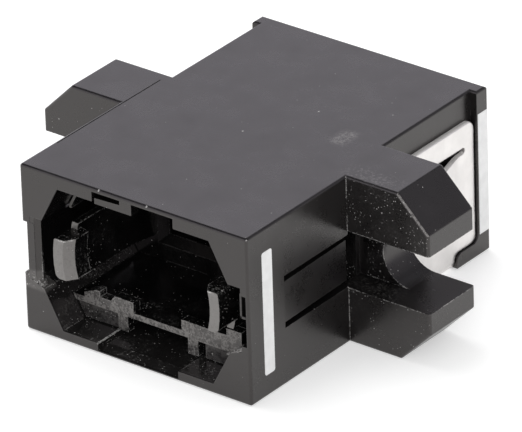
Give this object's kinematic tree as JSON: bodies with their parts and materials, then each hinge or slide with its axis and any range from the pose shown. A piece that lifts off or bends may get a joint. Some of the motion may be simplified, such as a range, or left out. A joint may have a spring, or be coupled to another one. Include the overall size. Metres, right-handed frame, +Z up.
{
  "type": "mpo fibre adapter",
  "caption": "Multi-fibre push-on adapter with a full flange: opposed keyed mouths with latch hooks, open screw slots and a spring clip that holds it in a panel cut-out.",
  "frame": {"origin": "middle of the underside, at the middle of the flange's thickness", "axes": "+X along the flange, towards the side with the white key marks; +Y from the front mouth to the rear mouth, through the panel; +Z up"},
  "size_m": [0.022, 0.018, 0.0084],
  "materials": {
    "housing_plastic": "satin black moulding with a fine matte grain",
    "insert_plastic": "satin dark grey moulding",
    "clip_steel": "bright rolled spring steel",
    "mark_paint": "flat white print"
  },
  "bodies": {
    "root": {"housing": "housing_plastic", "front_latch_insert": "insert_plastic", "rear_latch_insert": "insert_plastic", "panel_clip": "clip_steel", "front_key_mark": "mark_paint", "rear_key_mark": "mark_paint"}
  },
  "joints": []
}
